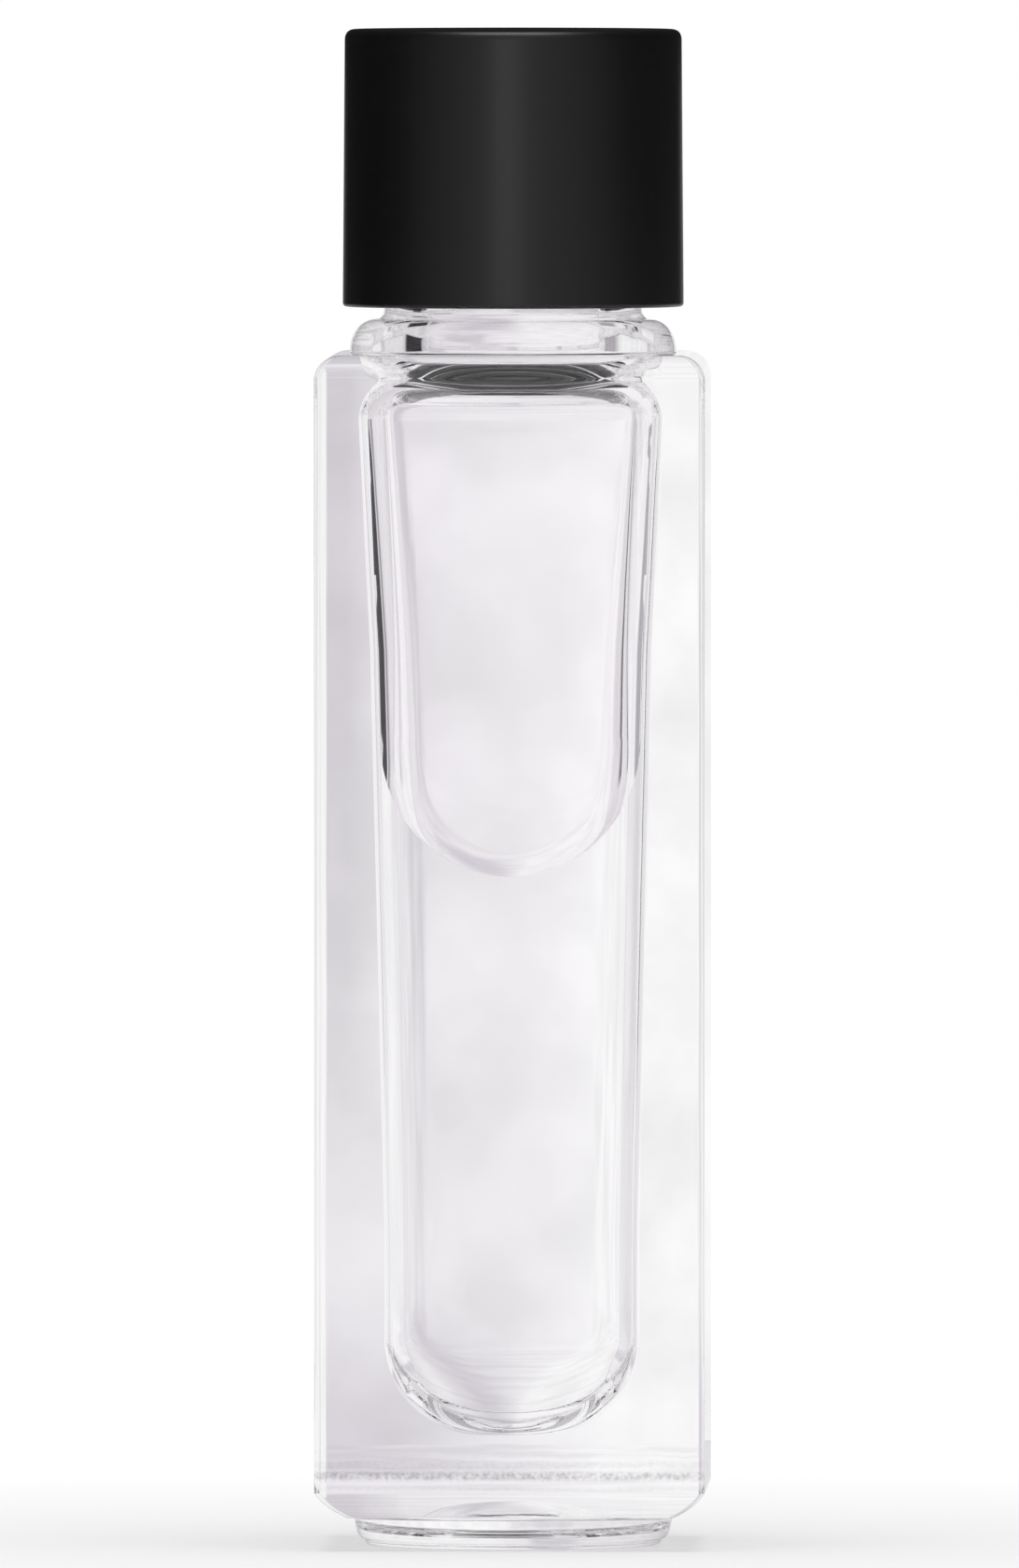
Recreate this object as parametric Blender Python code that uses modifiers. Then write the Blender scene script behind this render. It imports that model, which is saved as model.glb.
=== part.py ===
# A square heavy glass toner bottle with a round collar, a round foot and a smooth screw cap.
# Metres, +Z up, standing on z = 0, the printed front face towards -Y.
import math

import bmesh
import bpy

# Body
BODY_HALF = 0.01410             # half the width and depth of the square body
BODY_HEIGHT = 0.08400           # from the top of the foot to the shoulder
BODY_CORNER = 0.0012            # radius of the four upright edges
EDGE_INSET = 0.0019             # how far the rounded top and bottom edges reach in
EDGE_RISE = 0.0018              # and how tall they are

# Foot and push-up under the base
FOOT_RISE = 0.00235
FOOT_INSET = 0.0026             # from the side of the body to the side of the foot
FOOT_TAPER = 0.00115            # how much narrower the foot is at the shelf
FOOT_EDGE = 0.0004              # rounding where the foot meets the shelf
FOOT_RING = 0.00295             # width of the flat ring that it stands on
PUSH_UP_DEPTH = 0.0006
PUSH_UP_FLAT = 0.0030           # radius of its flat middle

# Collar between the shoulder and the neck
COLLAR_INSET = 0.0023           # from the side of the body to the side of the collar
COLLAR_SIDE = 0.0003            # straight part of its side
COLLAR_RISE = 0.00245
ROOT_FLARE = 0.00055            # hollow curve that leads up to the bead
ROOT_RISE = 0.0007

# Neck finish, sized as a 20-410 finish
NECK_RADIUS = 0.00880
NECK_WALL = 0.00205
BEAD_DEPTH = 0.00055            # how far the bead stands out
BEAD_RISE = 0.0020              # top of the bead above the collar
BEAD_SLOPE = 0.0005
FINISH_RISE = 0.0142            # from the bead to the top of the glass
LAND_EDGE = 0.0004
THREAD_DEPTH = 0.0011           # of the neck thread, which the cap clears

# Cavity for the toner, a rounded square that tapers downwards
FLOOR_THICKNESS = 0.0081
FLOOR_FLAT = 0.0022
FLOOR_ROUND = 0.0068            # height of the rounded bottom
LOW_WALL = 0.00495
MID_WALL = 0.00445
HIGH_WALL = 0.0041
TOP_WALL = 0.00345
LOW_SHARE = 0.197               # where those walls are, from the floor to the wall's top
MID_SHARE = 0.488
HIGH_SHARE = 0.774
CAVITY_CORNER = 0.0042
WALL_TOP_DROP = 0.00475         # from the shoulder down to where wall curves into ceiling
CEILING_DROP = 0.00125          # from the shoulder down to the flat end of that curve
CEILING_FLARE = 0.00075         # how much wider that end is than the bore
LEAD_RISE = 0.0003              # from there up to where the cavity is round
LEAD_FLARE = 0.00025            # how much wider than the bore it still is
BORE_FOOT_RISE = 0.00025        # from the shoulder up to where the bore is straight

# Air bubble that the front of the toner holds, deeper towards the neck
BUBBLE_DEPTH = 0.00165          # of its lower end, behind the glass
BUBBLE_TOP_DEPTH = 0.0090       # of its back where the wall ends
BUBBLE_LENGTH = 0.0229          # from the top of the wall to where its end is rounded
BUBBLE_END_DROP = 0.0100        # height of that rounded end
BUBBLE_MARGIN = 0.00035         # liquid left on each side of its lower end
BUBBLE_LIP = 0.0017             # width of the curved liquid edge around it
BUBBLE_OVERRUN = 0.0014         # how far its cutter runs past the liquid

# Closure
CAP_REVEAL = 0.0009             # glass seen between collar and cap
CAP_DRAFT = 0.00015             # how much wider the shell is at its rim
CAP_TOP_EDGE = 0.0008
CAP_LIP = 0.0002                # small rounding of the lower rim
SHELL_WALL = 0.00095
SHELL_ROOF = 0.0011
INNER_WALL = 0.00085
INNER_ROOF = 0.0009
INNER_RECESS = 0.0006           # inner cap's rim above the shell's rim
INNER_LEAD = 0.0004             # slope at the mouth of its bore
THREAD_CLEARANCE = 0.0002
LINER_THICKNESS = 0.0010
PLUG_FLANGE = 0.0006
FLANGE_REACH = 0.00125          # how far the flange lies over the glass
PLUG_DEPTH = 0.0062             # below the flange
PLUG_WALL = 0.0008
PLUG_FLOOR = 0.0010
PLUG_HOLE_RADIUS = 0.0012
PLUG_LEAD = 0.0006

SEAT_GAP = 0.0003               # between pieces that rest on each other

# How finely round parts are divided
CORNER_STEPS = 10
CURVE_STEPS = 6
ROUND_STEPS = 72
SMALL_ROUND_STEPS = 48
SHARP_ANGLE = math.radians(40)

# Places that follow from the sizes above
FOOT_RADIUS = BODY_HALF - FOOT_INSET
FOOT_BASE_RADIUS = FOOT_RADIUS - FOOT_TAPER
BODY_TOP = FOOT_RISE + BODY_HEIGHT
COLLAR_RADIUS = BODY_HALF - COLLAR_INSET
COLLAR_TOP = BODY_TOP + COLLAR_RISE
BEAD_RADIUS = NECK_RADIUS + BEAD_DEPTH
BEAD_TOP = COLLAR_TOP + BEAD_RISE
LAND_HEIGHT = BEAD_TOP + FINISH_RISE
BORE_RADIUS = NECK_RADIUS - NECK_WALL
WALL_TOP = BODY_TOP - WALL_TOP_DROP
CEILING_TOP = BODY_TOP - CEILING_DROP
BUBBLE_SHOULDER = WALL_TOP - BUBBLE_LENGTH
BUBBLE_LOW = BUBBLE_SHOULDER - BUBBLE_END_DROP

PLUG_RADIUS = BORE_RADIUS - SEAT_GAP
PLUG_TOP = LAND_HEIGHT + SEAT_GAP + PLUG_FLANGE
TONER_TOP = PLUG_TOP - PLUG_FLANGE - PLUG_DEPTH - SEAT_GAP
LINER_BOTTOM = PLUG_TOP + SEAT_GAP
LINER_TOP = LINER_BOTTOM + LINER_THICKNESS
INNER_CEILING = LINER_TOP + SEAT_GAP
INNER_TOP = INNER_CEILING + INNER_ROOF
INNER_BORE = NECK_RADIUS + THREAD_DEPTH + THREAD_CLEARANCE
INNER_RADIUS = INNER_BORE + INNER_WALL
CAP_BOTTOM = COLLAR_TOP + CAP_REVEAL
CAP_TOP = INNER_TOP + SEAT_GAP + SHELL_ROOF
CAP_TOP_RADIUS = INNER_RADIUS + SEAT_GAP + SHELL_WALL
CAP_BOTTOM_RADIUS = CAP_TOP_RADIUS + CAP_DRAFT


def clear_scene():
    for item in list(bpy.data.objects):
        bpy.data.objects.remove(item, do_unlink=True)


def new_collection(name, hidden):
    group = bpy.data.collections.new(name)
    group.hide_render = hidden
    bpy.context.scene.collection.children.link(group)
    return group


def plain_material(name, colour, roughness, metallic=0.0, alpha=1.0, transmission=0.0, ior=1.5):
    made = bpy.data.materials.new(name)
    made.use_nodes = True
    shader = made.node_tree.nodes["Principled BSDF"]
    shader.inputs["Base Color"].default_value = (*colour, 1.0)
    shader.inputs["Roughness"].default_value = roughness
    shader.inputs["Metallic"].default_value = metallic
    shader.inputs["Alpha"].default_value = alpha
    shader.inputs["Transmission Weight"].default_value = transmission
    shader.inputs["IOR"].default_value = ior
    made.diffuse_color = (*colour, alpha)
    made.roughness = roughness
    made.metallic = metallic
    return made


def clear_flint_glass():
    return plain_material("clear flint glass", (0.90, 0.89, 0.92), 0.03, alpha=0.35,
                          transmission=1.0, ior=1.52)


def clear_toner():
    return plain_material("clear toner", (0.93, 0.92, 0.95), 0.02, alpha=0.3,
                          transmission=1.0, ior=1.34)


def black_satin_plastic():
    return plain_material("black satin plastic", (0.012, 0.012, 0.014), 0.38)


def black_closure_plastic():
    return plain_material("black closure plastic", (0.02, 0.02, 0.022), 0.5)


def white_foam():
    return plain_material("white liner foam", (0.85, 0.85, 0.83), 0.7)


def natural_plug_plastic():
    return plain_material("natural plug plastic", (0.82, 0.82, 0.80), 0.45)


def ring_points(height, half, corner):
    """A rounded square, or a circle where corner equals half, always with the same count."""
    round_share = 1.0 if math.isclose(corner, half) else 0.0
    steps = CORNER_STEPS + round_share
    points = []
    for quarter in range(4):
        side_x = 1 if quarter in (0, 3) else -1
        side_y = 1 if quarter < 2 else -1
        for step in range(CORNER_STEPS + 1):
            turn = math.pi / 2 * (quarter + (step + round_share / 2) / steps)
            x = side_x * (half - corner) + corner * math.cos(turn)
            y = side_y * (half - corner) + corner * math.sin(turn)
            points.append((x, y, height))
    return points


def rounded_rings(start, end, steps, level_first):
    """Rings after start up to end along a quarter of an ellipse."""
    rings = []
    for step in range(1, steps + 1):
        turn = math.pi / 2 * step / steps
        early = math.sin(turn)
        late = 1 - math.cos(turn)
        rise_share = late if level_first else early
        reach_share = early if level_first else late
        height = start[0] + (end[0] - start[0]) * rise_share
        half = start[1] + (end[1] - start[1]) * reach_share
        corner = start[2] + (end[2] - start[2]) * reach_share
        rings.append((height, half, corner))
    return rings


def circle_ring(height, radius):
    return (height, radius, radius)


def loft(name, rings, group, material):
    """One closed body through the rings, its first and last ring filled."""
    mesh = bpy.data.meshes.new(name)
    shape = bmesh.new()
    loops = []
    for ring in rings:
        loops.append([shape.verts.new(point) for point in ring_points(*ring)])
    for low, high in zip(loops, loops[1:]):
        for i, corner in enumerate(low):
            j = (i + 1) % len(low)
            shape.faces.new((corner, low[j], high[j], high[i]))
    shape.faces.new(loops[0])
    shape.faces.new(loops[-1])
    bmesh.ops.recalc_face_normals(shape, faces=shape.faces)
    shape.to_mesh(mesh)
    shape.free()
    mesh.shade_smooth()
    mesh.set_sharp_from_angle(angle=SHARP_ANGLE)
    body = bpy.data.objects.new(name, mesh)
    if material:
        mesh.materials.append(material)
    group.objects.link(body)
    return body


def turned(name, outline, steps, group, material):
    """A closed outline of (radius, height), down its outer side, turned about Z."""
    mesh = bpy.data.meshes.new(name)
    count = len(outline)
    points = [(radius, 0.0, height) for radius, height in outline]
    closed = outline[0][0] > 0 or outline[-1][0] > 0
    edges = [(i, (i + 1) % count) for i in range(count if closed else count - 1)]
    mesh.from_pydata(points, edges, [])
    body = bpy.data.objects.new(name, mesh)
    mesh.materials.append(material)
    group.objects.link(body)
    screw = body.modifiers.new("Turn", "SCREW")
    screw.steps = steps
    screw.render_steps = steps
    screw.use_merge_vertices = True
    screw.merge_threshold = 0.00001
    screw.use_smooth_shade = True
    return body


def quarter_outline(start, end, steps, level_first):
    """Points after start up to end, as (radius, height)."""
    rings = rounded_rings((start[1], start[0], 0.0), (end[1], end[0], 0.0), steps, level_first)
    return [(half, height) for height, half, corner in rings]


def cavity_rings(gap):
    """The cavity from its floor up to the foot of the bore, moved in by gap."""
    low_half = BODY_HALF - LOW_WALL - gap
    floor = circle_ring(FLOOR_THICKNESS + gap, FLOOR_FLAT)
    curve_top = circle_ring(floor[0] + FLOOR_ROUND, low_half)
    rings = [floor]
    curve = rounded_rings(floor, curve_top, 2 * CURVE_STEPS, True)
    for step, (height, half, corner) in enumerate(curve, 1):
        square_share = (step / len(curve)) ** 2
        rings.append((height, half, half - (half - CAVITY_CORNER) * square_share))
    for share, wall in ((LOW_SHARE, LOW_WALL), (MID_SHARE, MID_WALL), (HIGH_SHARE, HIGH_WALL)):
        height = FLOOR_THICKNESS + (WALL_TOP - FLOOR_THICKNESS) * share
        rings.append((height, BODY_HALF - wall - gap, CAVITY_CORNER))
    wall_top = (WALL_TOP, BODY_HALF - TOP_WALL - gap, CAVITY_CORNER)
    rings.append(wall_top)
    ceiling = (CEILING_TOP - gap, BORE_RADIUS + CEILING_FLARE - gap, CAVITY_CORNER)
    rings.extend(rounded_rings(wall_top, ceiling, 2 * CURVE_STEPS, False))
    rings.append(circle_ring(CEILING_TOP + LEAD_RISE - gap, BORE_RADIUS + LEAD_FLARE - gap))
    rings.append(circle_ring(BODY_TOP + BORE_FOOT_RISE, BORE_RADIUS - gap))
    return rings


def neck_rings():
    """From the foot of the bore up over the land and down to the top of the collar."""
    inside = circle_ring(LAND_HEIGHT - LAND_EDGE, BORE_RADIUS)
    land_inside = circle_ring(LAND_HEIGHT, BORE_RADIUS + LAND_EDGE)
    land_outside = circle_ring(LAND_HEIGHT, NECK_RADIUS - LAND_EDGE)
    outside = circle_ring(LAND_HEIGHT - LAND_EDGE, NECK_RADIUS)
    bead_foot = circle_ring(COLLAR_TOP + ROOT_RISE, BEAD_RADIUS)
    rings = [inside]
    rings.extend(rounded_rings(inside, land_inside, CURVE_STEPS // 2, False))
    rings.append(land_outside)
    rings.extend(rounded_rings(land_outside, outside, CURVE_STEPS // 2, True))
    rings.append(circle_ring(BEAD_TOP + BEAD_SLOPE, NECK_RADIUS))
    rings.append(circle_ring(BEAD_TOP, BEAD_RADIUS))
    rings.append(bead_foot)
    root = circle_ring(COLLAR_TOP, BEAD_RADIUS + ROOT_FLARE)
    rings.extend(rounded_rings(bead_foot, root, CURVE_STEPS // 2, False))
    return rings


def outside_rings():
    """From the top of the collar down the body to the middle of the push-up."""
    root = circle_ring(COLLAR_TOP, BEAD_RADIUS + ROOT_FLARE)
    collar_side = circle_ring(BODY_TOP + COLLAR_SIDE, COLLAR_RADIUS)
    inner_half = BODY_HALF - EDGE_INSET
    shoulder = (BODY_TOP, inner_half, BODY_CORNER)
    side_top = (BODY_TOP - EDGE_RISE, BODY_HALF, BODY_CORNER)
    side_bottom = (FOOT_RISE + EDGE_RISE, BODY_HALF, BODY_CORNER)
    under = (FOOT_RISE, inner_half, BODY_CORNER)
    rings = rounded_rings(root, collar_side, CURVE_STEPS, True)
    rings.append(circle_ring(BODY_TOP, COLLAR_RADIUS))
    rings.append(shoulder)
    rings.extend(rounded_rings(shoulder, side_top, CURVE_STEPS, True))
    rings.append(side_bottom)
    rings.extend(rounded_rings(side_bottom, under, CURVE_STEPS, False))
    foot_side = circle_ring(FOOT_RISE, FOOT_RADIUS)
    foot_edge = circle_ring(FOOT_EDGE, FOOT_BASE_RADIUS + FOOT_EDGE)
    rings.append(foot_side)
    rings.extend(rounded_rings(foot_side, foot_edge, CURVE_STEPS // 2, False))
    foot_flat = circle_ring(0.0, FOOT_BASE_RADIUS)
    rings.extend(rounded_rings(foot_edge, foot_flat, CURVE_STEPS // 2, False))
    rings.append(circle_ring(0.0, FOOT_BASE_RADIUS - FOOT_RING))
    rings.append(circle_ring(PUSH_UP_DEPTH, PUSH_UP_FLAT))
    return rings


def make_bottle(group):
    rings = cavity_rings(0.0) + neck_rings() + outside_rings()
    return loft("bottle", rings, group, clear_flint_glass())


def bubble_outline(inset):
    """The bubble seen from the front: (x, height), from the top right round its lower end."""
    top_half = BODY_HALF - TOP_WALL - inset
    top = TONER_TOP + BUBBLE_OVERRUN
    points = [(top_half, top)]
    steps = 4 * CURVE_STEPS
    low_half = BODY_HALF - MID_WALL - BUBBLE_MARGIN - inset
    end_drop = BUBBLE_END_DROP - inset
    for step in range(steps + 1):
        turn = math.pi * step / steps
        points.append((low_half * math.cos(turn), BUBBLE_SHOULDER - end_drop * math.sin(turn)))
    points.append((-top_half, top))
    return points


def make_bubble_cutter(group):
    """Lofted from outside the front of the liquid back to the bubble's flat, leaning side."""
    mesh = bpy.data.meshes.new("bubble_cutter")
    shape = bmesh.new()
    front = TOP_WALL - BODY_HALF - BUBBLE_OVERRUN
    lip_start = MID_WALL - BODY_HALF + BUBBLE_DEPTH - BUBBLE_LIP
    places = [(front, 0.0), (lip_start, 0.0)]
    for step in range(1, CURVE_STEPS + 1):
        turn = math.pi / 2 * step / CURVE_STEPS
        places.append((lip_start + BUBBLE_LIP * math.sin(turn), BUBBLE_LIP * (1 - math.cos(turn))))
    lean = (BUBBLE_TOP_DEPTH - BUBBLE_DEPTH) / (WALL_TOP - BUBBLE_LOW)
    loops = []
    for y, inset in places:
        loop = []
        for x, height in bubble_outline(inset):
            back = y + lean * (height - BUBBLE_LOW) if loops else y
            loop.append(shape.verts.new((x, back, height)))
        loops.append(loop)
    for near, far in zip(loops, loops[1:]):
        for i, corner in enumerate(near):
            j = (i + 1) % len(near)
            shape.faces.new((corner, near[j], far[j], far[i]))
    shape.faces.new(loops[0])
    shape.faces.new(loops[-1])
    bmesh.ops.recalc_face_normals(shape, faces=shape.faces)
    shape.to_mesh(mesh)
    shape.free()
    cutter = bpy.data.objects.new("bubble_cutter", mesh)
    cutter.display_type = "WIRE"
    cutter.hide_render = True
    group.objects.link(cutter)
    return cutter


def make_toner(group, helpers):
    rings = cavity_rings(SEAT_GAP)
    rings.append(circle_ring(TONER_TOP, PLUG_RADIUS))
    toner = loft("toner", rings, group, clear_toner())
    cut = toner.modifiers.new("Bubble", "BOOLEAN")
    cut.object = make_bubble_cutter(helpers)
    cut.operation = "DIFFERENCE"
    cut.solver = "EXACT"
    return toner


def make_orifice_reducer(group):
    flange_radius = BORE_RADIUS + FLANGE_REACH
    flange_bottom = PLUG_TOP - PLUG_FLANGE
    bottom = flange_bottom - PLUG_DEPTH
    well = PLUG_RADIUS - PLUG_WALL
    outline = [
        (flange_radius, PLUG_TOP),
        (flange_radius, flange_bottom),
        (PLUG_RADIUS, flange_bottom),
        (PLUG_RADIUS, bottom + PLUG_LEAD),
        (PLUG_RADIUS - PLUG_LEAD, bottom),
        (PLUG_HOLE_RADIUS, bottom),
        (PLUG_HOLE_RADIUS, bottom + PLUG_FLOOR),
        (well - PLUG_LEAD, bottom + PLUG_FLOOR),
        (well, bottom + PLUG_FLOOR + PLUG_LEAD),
        (well, PLUG_TOP),
    ]
    return turned("orifice_reducer", outline, SMALL_ROUND_STEPS, group, natural_plug_plastic())


def make_liner_disc(group):
    radius = INNER_BORE - SEAT_GAP
    outline = [(0.0, LINER_TOP), (radius, LINER_TOP), (radius, LINER_BOTTOM), (0.0, LINER_BOTTOM)]
    return turned("liner_disc", outline, ROUND_STEPS, group, white_foam())


def make_inner_cap(group):
    bottom = CAP_BOTTOM + INNER_RECESS
    outline = [
        (0.0, INNER_TOP),
        (INNER_RADIUS - CAP_TOP_EDGE, INNER_TOP),
        (INNER_RADIUS, INNER_TOP - CAP_TOP_EDGE),
        (INNER_RADIUS, bottom),
        (INNER_BORE + INNER_LEAD, bottom),
        (INNER_BORE, bottom + INNER_LEAD),
        (INNER_BORE, INNER_CEILING),
        (0.0, INNER_CEILING),
    ]
    return turned("inner_cap", outline, ROUND_STEPS, group, black_closure_plastic())


def make_cap_shell(group):
    roof = INNER_TOP + SEAT_GAP
    top_corner = (CAP_TOP_RADIUS - CAP_TOP_EDGE, CAP_TOP)
    side_top = (CAP_TOP_RADIUS, CAP_TOP - CAP_TOP_EDGE)
    side_bottom = (CAP_BOTTOM_RADIUS, CAP_BOTTOM + CAP_LIP)
    rim = (CAP_BOTTOM_RADIUS - CAP_LIP, CAP_BOTTOM)
    outline = [(0.0, CAP_TOP), top_corner]
    outline.extend(quarter_outline(top_corner, side_top, CURVE_STEPS, True))
    outline.append(side_bottom)
    outline.extend(quarter_outline(side_bottom, rim, CURVE_STEPS // 2, False))
    outline.append((CAP_BOTTOM_RADIUS - SHELL_WALL, CAP_BOTTOM))
    outline.append((CAP_TOP_RADIUS - SHELL_WALL, roof - CAP_TOP_EDGE))
    outline.append((CAP_TOP_RADIUS - SHELL_WALL - CAP_TOP_EDGE, roof))
    outline.append((0.0, roof))
    return turned("cap_shell", outline, ROUND_STEPS, group, black_satin_plastic())


def main():
    clear_scene()
    pieces = new_collection("toner_bottle", False)
    helpers = new_collection("cutters", True)
    make_bottle(pieces)
    make_toner(pieces, helpers)
    make_orifice_reducer(pieces)
    make_liner_disc(pieces)
    make_inner_cap(pieces)
    make_cap_shell(pieces)


main()
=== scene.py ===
# A square bottle of thick clear glass with toner inside and a smooth satin black cap.
# Metres, +Z up, standing on z = 0, the front face towards -Y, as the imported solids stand.
import math

import bmesh
import bpy
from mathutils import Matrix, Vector


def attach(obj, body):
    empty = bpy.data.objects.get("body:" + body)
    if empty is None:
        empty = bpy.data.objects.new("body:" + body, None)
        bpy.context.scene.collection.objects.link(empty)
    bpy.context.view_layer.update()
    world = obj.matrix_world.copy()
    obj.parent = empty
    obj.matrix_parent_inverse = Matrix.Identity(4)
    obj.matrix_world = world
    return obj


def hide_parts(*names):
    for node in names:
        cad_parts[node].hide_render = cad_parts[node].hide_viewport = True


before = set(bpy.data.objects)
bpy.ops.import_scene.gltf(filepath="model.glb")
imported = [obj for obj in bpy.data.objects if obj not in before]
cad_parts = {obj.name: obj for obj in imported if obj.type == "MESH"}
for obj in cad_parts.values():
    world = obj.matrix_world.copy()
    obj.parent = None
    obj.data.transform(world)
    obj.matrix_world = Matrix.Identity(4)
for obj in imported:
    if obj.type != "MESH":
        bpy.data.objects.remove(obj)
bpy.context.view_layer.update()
print("frame loaded:", ", ".join(sorted(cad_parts)))

mm = 0.001


# shared helpers
def linearColour(text):
    channels = [int(text[i:i + 2], 16) / 255 for i in (1, 3, 5)]
    return [c / 12.92 if c <= 0.04045 else ((c + 0.055) / 1.055) ** 2.4 for c in channels] + [1.0]


def addNode(tree, kind, values=None):  # by property or by socket; a value that is a socket is linked
    made = tree.nodes.new(kind)
    for name, value in (values or {}).items():
        if isinstance(value, bpy.types.NodeSocket):
            tree.links.new(value, made.inputs[name])
        elif isinstance(name, str) and hasattr(made, name) and name not in made.inputs:
            setattr(made, name, value)
        else:
            made.inputs[name].default_value = value
    return made


def calculate(tree, operation, *values):  # numbers or sockets
    return addNode(tree, "ShaderNodeMath", {"operation": operation, **dict(enumerate(values))}).outputs[0]


def mapField(tree, field, span, result=(0.0, 1.0)):  # from one span of values to another
    made = addNode(tree, "ShaderNodeMapRange", {
        "Value": field, "From Min": span[0], "From Max": span[1],
        "To Min": result[0], "To Max": result[1]})
    return made.outputs["Result"]


def objectPlace(tree):
    return addNode(tree, "ShaderNodeTexCoord").outputs["Object"]


def placeParts(tree):
    return addNode(tree, "ShaderNodeSeparateXYZ", {"Vector": objectPlace(tree)}).outputs


def startMaterial(name, colour, settings):
    material = bpy.data.materials.new(name)
    material.use_nodes = True
    shader = material.node_tree.nodes["Principled BSDF"]
    shader.inputs["Base Color"].default_value = linearColour(colour)
    for socket, value in settings.items():
        shader.inputs[socket].default_value = value
    return material, material.node_tree, shader


def keepMesh(name, mesh, materials):
    piece = bpy.data.objects.new(name, mesh)
    bpy.context.scene.collection.objects.link(piece)
    for material in materials:
        mesh.materials.append(material)
    return piece


def pieceFromShape(name, shape, materials, sharpDegrees=35):
    mesh = bpy.data.meshes.new(name)
    shape.to_mesh(mesh)
    shape.free()
    mesh.shade_smooth()
    mesh.set_sharp_from_angle(angle=math.radians(sharpDegrees))
    return keepMesh(name, mesh, materials)


def bakedMesh(piece, name):
    graph = bpy.context.evaluated_depsgraph_get()
    mesh = bpy.data.meshes.new_from_object(piece.evaluated_get(graph))
    mesh.name = name
    return mesh


# materials
noiseSpan = (0.3, 0.7)  # what a noise field mostly keeps to


def noiseField(tree, size, detail):  # size of the pattern's cells in millimetres, one number or x, y and z
    sizes = size if isinstance(size, tuple) else (size, size, size)
    scaled = addNode(tree, "ShaderNodeMapping", {
        "Vector": objectPlace(tree), "Scale": [1 / (cell * mm) for cell in sizes]})
    noise = addNode(tree, "ShaderNodeTexNoise", {
        "Vector": scaled.outputs["Vector"], "Scale": 1.0, "Detail": detail})
    return noise.outputs["Fac"]


def mixTones(tree, share, first, second, blend="MIX"):  # first and second are hex colours or sockets
    first, second = [linearColour(tone) if isinstance(tone, str) else tone for tone in (first, second)]
    mix = addNode(tree, "ShaderNodeMix", {
        "data_type": "RGBA", "blend_type": blend, 0: share, 6: first, 7: second})
    return mix.outputs[2]  # 6, 7 and this 2 are the places of the node's colour sockets


def mixShaders(tree, share, first, second):  # all of the second where share is 1
    return addNode(tree, "ShaderNodeMixShader", {0: share, 1: first.outputs[0], 2: second.outputs[0]})


def addBump(tree, shader, field, strength, distance):
    bump = addNode(tree, "ShaderNodeBump", {"Strength": strength, "Distance": distance, "Height": field})
    tree.links.new(bump.outputs["Normal"], shader.inputs["Normal"])


glassLook = {  # millimetres
    "wave": (4.17, 4.17, 10.0), "ripple": (2.78, 2.78, 6.25), "rippleGrain": 1.11,
    "stippleHeight": 5.5, "stippleFull": 0.15, "stippleEnd": 0.45, "stippleGrain": 0.286,
    "stippleSpan": 14.0, "stippleBack": 0.3,  # from front to back it fades to this share
}


def flintGlass():
    # Flint glass, pressed and fire polished: clear, softly wavy, with the grey stipple that the mould
    # leaves round the foot of the body.
    look = glassLook
    material, tree, shader = startMaterial("flint glass, fire polished", "#fefdfe", {
        "Roughness": 0.0, "IOR": 1.52, "Transmission Weight": 1.0})
    addBump(tree, shader, noiseField(tree, look["wave"], 2.0), 0.05, 0.2 * mm)
    parts = placeParts(tree)
    away = calculate(tree, "ABSOLUTE", calculate(tree, "SUBTRACT", parts["Z"], look["stippleHeight"] * mm))
    inside = mapField(tree, away, (look["stippleFull"] * mm, look["stippleEnd"] * mm), (1.0, 0.0))
    grains = mapField(tree, noiseField(tree, look["stippleGrain"], 2.0), noiseSpan, (0.1, 0.9))
    span = look["stippleSpan"] * mm
    # the stipple is strongest at the front and fades towards the back
    frontFade = mapField(tree, parts["Y"], (-span, span), (1.0, look["stippleBack"]))
    share = calculate(tree, "MULTIPLY", calculate(tree, "MULTIPLY", inside, grains), frontFade)
    tree.links.new(mixTones(tree, share, "#fefdfe", "#948f96"), shader.inputs["Base Color"])
    return material


def wettedGlass():
    # The same glass where toner wets it, rippled by the mould's plunger. Its IOR is the step between the
    # two, 1.52 over 1.34, so the wall draws fainter lines than dry glass does.
    material, tree, shader = startMaterial("flint glass, wetted by toner", "#fefefe", {
        "Roughness": 0.0, "IOR": 1.134, "Transmission Weight": 1.0})
    ripples = noiseField(tree, glassLook["ripple"], 2.0)
    grains = noiseField(tree, glassLook["rippleGrain"], 2.0)
    addBump(tree, shader, calculate(tree, "MULTIPLY_ADD", grains, 0.12, ripples), 0.10, 0.2 * mm)
    return material


def clearToner():
    # Toner where it lies on the glass. The glass already bends the light there, so this only tints it,
    # faintly and unevenly.
    material, tree, shader = startMaterial("clear toner, against the glass", "#fefefe", {
        "Roughness": 0.0, "IOR": 1.0, "Transmission Weight": 1.0, "Alpha": 0.3})
    tint = mixTones(tree, noiseField(tree, 8.33, 2.0), "#fefefe", "#fbfafc")
    tree.links.new(tint, shader.inputs["Base Color"])
    return material


def tonerSurface():
    # The skin of the toner round the air bubble: still, but for the slow swell that a pour leaves in it.
    material, tree, shader = startMaterial("clear toner, open surface", "#fefdfe", {
        "Roughness": 0.0, "IOR": 1.34, "Transmission Weight": 1.0})
    addBump(tree, shader, noiseField(tree, 7.69, 1.0), 0.10, 0.2 * mm)
    return material


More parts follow.
